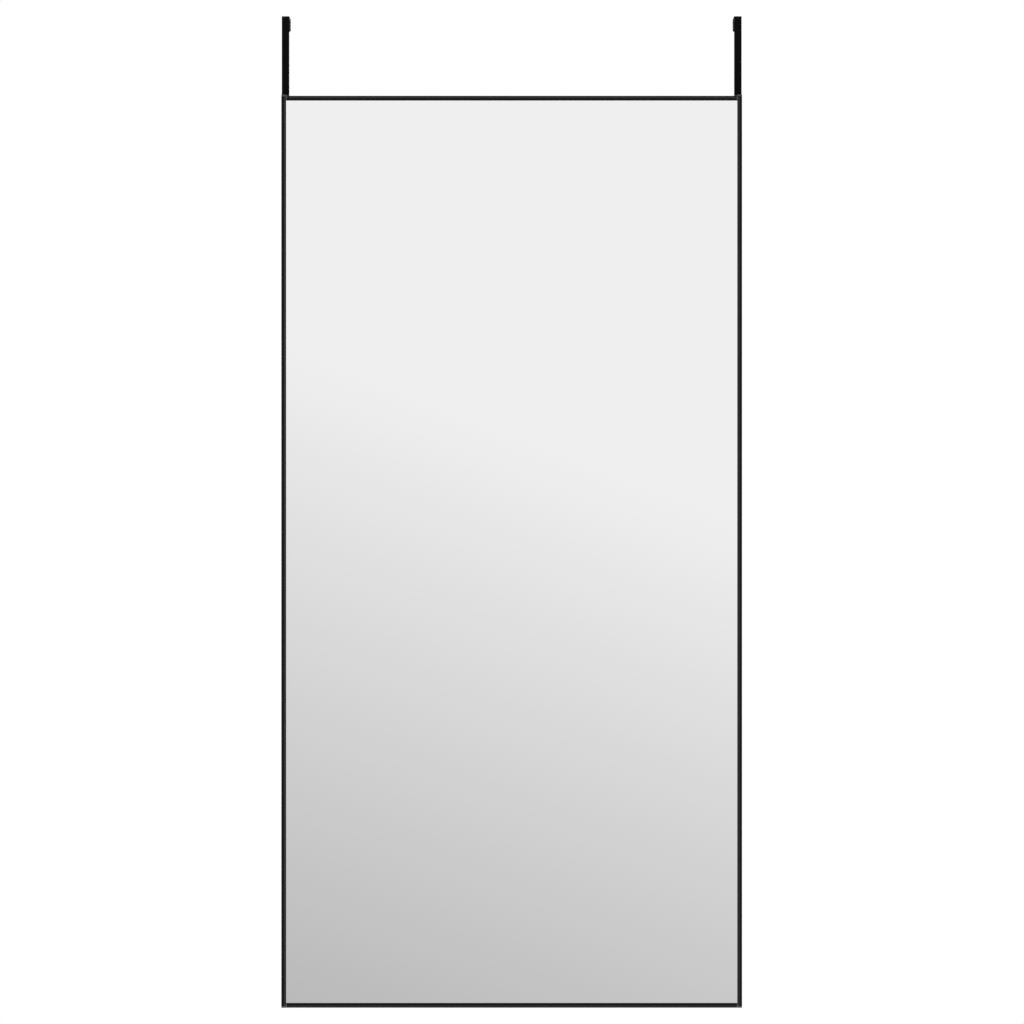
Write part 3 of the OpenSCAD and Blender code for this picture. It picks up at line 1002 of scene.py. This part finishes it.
def hang_lamp(name, strength, azimuth, elevation, softness):
    """A soft distant lamp that shines from an azimuth, counted as the views are, and an elevation."""
    lamp = bpy.data.lights.new(name, "SUN")
    lamp.energy = strength
    lamp.angle = radians(softness)
    stand(name, lamp).rotation_euler = (radians(90.0 - elevation), 0.0, radians(azimuth))


def light_room(look):
    """White all round. What glass and metal show of it falls off softly towards the lower left."""
    world = bpy.data.worlds.new("studio_room")
    world.use_nodes = True
    bpy.context.scene.world = world
    tree = world.node_tree
    tree.nodes.clear()
    ways = parts_of(tree, add_node(tree, "TexCoord").outputs["Generated"])
    lean, darkest, contrast = 0.385, 0.74, 2.2
    slant = plus(tree, ways["Z"], times(tree, ways["X"], lean))
    level = remap(tree, slant, -0.101087, 0.0119565, darkest, 1.0)
    far_left = remap(tree, ways["X"], -0.9, -0.12, 0.5, 1.0)
    far_right = remap(tree, ways["X"], 0.55, 0.95, 1.0, 0.5)
    high_up = remap(tree, ways["Z"], 0.2, 0.9, 1.0, 0.3)
    falloff = times(tree, calculate(tree, "POWER", level, contrast), far_left, far_right, high_up)
    path = add_node(tree, "LightPath").outputs
    glossy = path["Is Glossy Ray"]
    shown = plus(tree, path["Is Camera Ray"], glossy)
    shown = plus(tree, shown, path["Is Transmission Ray"], clamp=True)
    tone = blend_colours(tree, glossy, WHITE, falloff)
    backdrop = add_node(tree, "Background", {"Color": tone, "Strength": 1.0})
    ambient = add_node(tree, "Background", {"Color": (*WHITE, 1.0), "Strength": look.ambient})
    both = add_node(tree, "MixShader", {0: shown, 1: ambient.outputs[0], 2: backdrop.outputs[0]})
    add_node(tree, "OutputWorld", {"Surface": both.outputs[0]})


def place_camera(look):
    """A long lens straight in front, a little above the frame's middle."""
    data = bpy.data.cameras.new("camera")
    data.lens = data.sensor_width * look.camera_away / look.view_width
    camera = stand("camera", data)
    camera.location = (look.camera_x, FRAME_FRONT - look.camera_away, GLASS_MIDDLE + look.camera_rise)
    camera.rotation_euler = (radians(90.0), 0.0, 0.0)
    bpy.context.scene.camera = camera


# Operators


class DOORMIRROR_OT_glass(Operator):
    """Gives the mirror glass its silvered finish"""

    bl_idname = "door_mirror.glass"
    bl_label = "Mirror Glass"

    def execute(self, context):
        dress("mirror_glass", silvered_glass(context.scene.door_mirror.glass))
        return {"FINISHED"}


class DOORMIRROR_OT_members(Operator):
    """Gives the stiles and rails their black coated finish, with die lines along each of them and a painted
    highlight along their faces
    """

    bl_idname = "door_mirror.members"
    bl_label = "Stiles and Rails"

    def execute(self, context):
        look = context.scene.door_mirror.members
        upright, level = span("Z", "stile_left", "stile_left"), span("X", "rail_top", "rail_top")
        width, height = span("X", "stile_left", "stile_right"), span("Z", "rail_bottom", "rail_top")
        stile_saw = look.saw_line * look.stile_saw
        # Each member gets its painted highlight line at its own depth: pale colour standing in for light
        # caught along the face
        stile = coated_extrusion("coated_stile", look, upright, stile_saw, width, look.stile_highlight)
        rail = coated_extrusion("coated_rail", look, level, look.saw_line, height, look.rail_highlight)
        dress("stile_", stile)
        dress("rail_", rail)
        return {"FINISHED"}


class DOORMIRROR_OT_back(Operator):
    """Gives the back board its fibrous hardboard finish"""

    bl_idname = "door_mirror.back"
    bl_label = "Back Board"

    def execute(self, context):
        dress("back_board", hardboard(context.scene.door_mirror.back))
        return {"FINISHED"}


class DOORMIRROR_OT_hardware(Operator):
    """Gives the corner angles, shims and set screws their zinc, and the spring clips their tempered steel"""

    bl_idname = "door_mirror.hardware"
    bl_label = "Corner Hardware and Clips"

    def execute(self, context):
        look = context.scene.door_mirror.hardware
        dress("corner_", zinc_plating(look))
        dress("spring_clip_", spring_strip(look))
        return {"FINISHED"}


class DOORMIRROR_OT_hooks(Operator):
    """Builds the two bent straps, with countersunk holes for their screws"""

    bl_idname = "door_mirror.hooks"
    bl_label = "Hooks"

    def execute(self, context):
        look, screws = context.scene.door_mirror.hooks, context.scene.door_mirror.screws
        coat = powder_coat(look)
        for side, _ in SIDES:
            name, middle_x = f"door_hook_{side}", middle_of_hook(side)
            cutters = [hole_cutter(middle_x, z, screws) for _, z in screw_heights(screws)]
            strap = carve(strap_mesh(name, middle_x, look), cutters)
            add_piece(name, strap, coat, f"hook_{side}")
        return {"FINISHED"}


class DOORMIRROR_OT_screws(Operator):
    """Builds the countersunk hook screws, each turned home to its own angle"""

    bl_idname = "door_mirror.screws"
    bl_label = "Hook Screws"

    def execute(self, context):
        look = context.scene.door_mirror.screws
        steel = blackened_steel(look)
        draw = random.Random(11)
        for side, _ in SIDES:
            for place, z in screw_heights(look):
                name = f"hook_screw_{side}_{place}"
                screw = screw_mesh(name, look, draw.uniform(0.0, pi / 2))
                screw.transform(Matrix.Translation((middle_of_hook(side), -look.sink, z)))
                add_piece(name, screw, steel, "hook_screws", sharp=30.0)
        return {"FINISHED"}


class DOORMIRROR_OT_caps(Operator):
    """Builds the end caps on the stiles, and gives the setting blocks the same plastic"""

    bl_idname = "door_mirror.caps"
    bl_label = "End Caps and Setting Blocks"

    def execute(self, context):
        look = context.scene.door_mirror.soft
        face = context.scene.door_mirror.members.face
        plastic = moulded_plastic(look)
        dress("setting_block_", plastic)
        for end, towards in ENDS:
            for side, outwards in SIDES:
                name, node = f"stile_cap_{end}_{side}", f"end_cap_{end}_{side}"
                cap = cap_mesh(name, node, outwards, towards, face, look)
                add_piece(name, cap, plastic, node)
        return {"FINISHED"}


class DOORMIRROR_OT_pads(Operator):
    """Builds the foam pads under the hooks' bridges and on their lips, and finishes the rubber bumpers"""

    bl_idname = "door_mirror.pads"
    bl_label = "Foam Pads and Bumpers"

    def execute(self, context):
        look = context.scene.door_mirror.soft
        foam = cut_foam(look)
        dress("bumper_", moulded_rubber(look))
        for side, _ in SIDES:
            for kind, axes in (("seat", (0, 1, 2)), ("lip", (0, 2, 1))):
                name, node = f"{kind}_foam_{side}", f"{kind}_pad_{side}"
                mesh = foam_mesh(name, node, look.foam_softness, axes)
                pad = add_piece(name, mesh, foam, node)
        return {"FINISHED"}


class DOORMIRROR_OT_studio(Operator):
    """Sets up the floor, the lamps, the white room and the camera"""

    bl_idname = "door_mirror.studio"
    bl_label = "Studio"

    def execute(self, context):
        look = context.scene.door_mirror.studio
        context.scene.view_settings.view_transform = "Standard"
        lay_floor(look)
        hang_lamp("key_lamp", look.key, azimuth=-35.0, elevation=42.0, softness=30.0)
        hang_lamp("fill_lamp", look.fill, azimuth=50.0, elevation=22.0, softness=40.0)
        hang_lamp("back_lamp", look.back, azimuth=150.0, elevation=40.0, softness=30.0)
        light_room(look)
        place_camera(look)
        return {"FINISHED"}


class DOORMIRROR_PT_panel(Panel):
    """Lists the pieces of the door mirror with their sizes and colours"""

    bl_idname = "DOORMIRROR_PT_panel"
    bl_label = "Door Mirror"
    bl_space_type = "VIEW_3D"
    bl_region_type = "UI"
    bl_category = "Door Mirror"

    def draw(self, context):
        for operator, group in STEPS:
            box = self.layout.box()
            box.operator(operator.bl_idname)
            settings = getattr(context.scene.door_mirror, group)
            for name in settings.__annotations__:
                box.prop(settings, name)


STEPS = (
    (DOORMIRROR_OT_studio, "studio"),
    (DOORMIRROR_OT_glass, "glass"),
    (DOORMIRROR_OT_members, "members"),
    (DOORMIRROR_OT_back, "back"),
    (DOORMIRROR_OT_hardware, "hardware"),
    (DOORMIRROR_OT_hooks, "hooks"),
    (DOORMIRROR_OT_screws, "screws"),
    (DOORMIRROR_OT_caps, "soft"),
    (DOORMIRROR_OT_pads, "soft"),
)

CLASSES = (
    GlassSettings,
    FrameSettings,
    HookSettings,
    ScrewSettings,
    BackSettings,
    HardwareSettings,
    SoftSettings,
    StudioSettings,
    MirrorSettings,
    *(operator for operator, _ in STEPS),
    DOORMIRROR_PT_panel,
)


def register():
    """Registers the classes and the scene's settings."""
    for item in CLASSES:
        bpy.utils.register_class(item)
    bpy.types.Scene.door_mirror = PointerProperty(type=MirrorSettings)


def unregister():
    """Takes the settings and the classes away again."""
    del bpy.types.Scene.door_mirror
    for item in reversed(CLASSES):
        bpy.utils.unregister_class(item)


def main():
    """Builds the studio and every piece."""
    register()
    bpy.ops.door_mirror.studio()
    bpy.ops.door_mirror.glass()
    bpy.ops.door_mirror.members()
    bpy.ops.door_mirror.back()
    bpy.ops.door_mirror.hardware()
    bpy.ops.door_mirror.hooks()
    bpy.ops.door_mirror.screws()
    bpy.ops.door_mirror.caps()
    bpy.ops.door_mirror.pads()


if __name__ == "__main__":
    main()
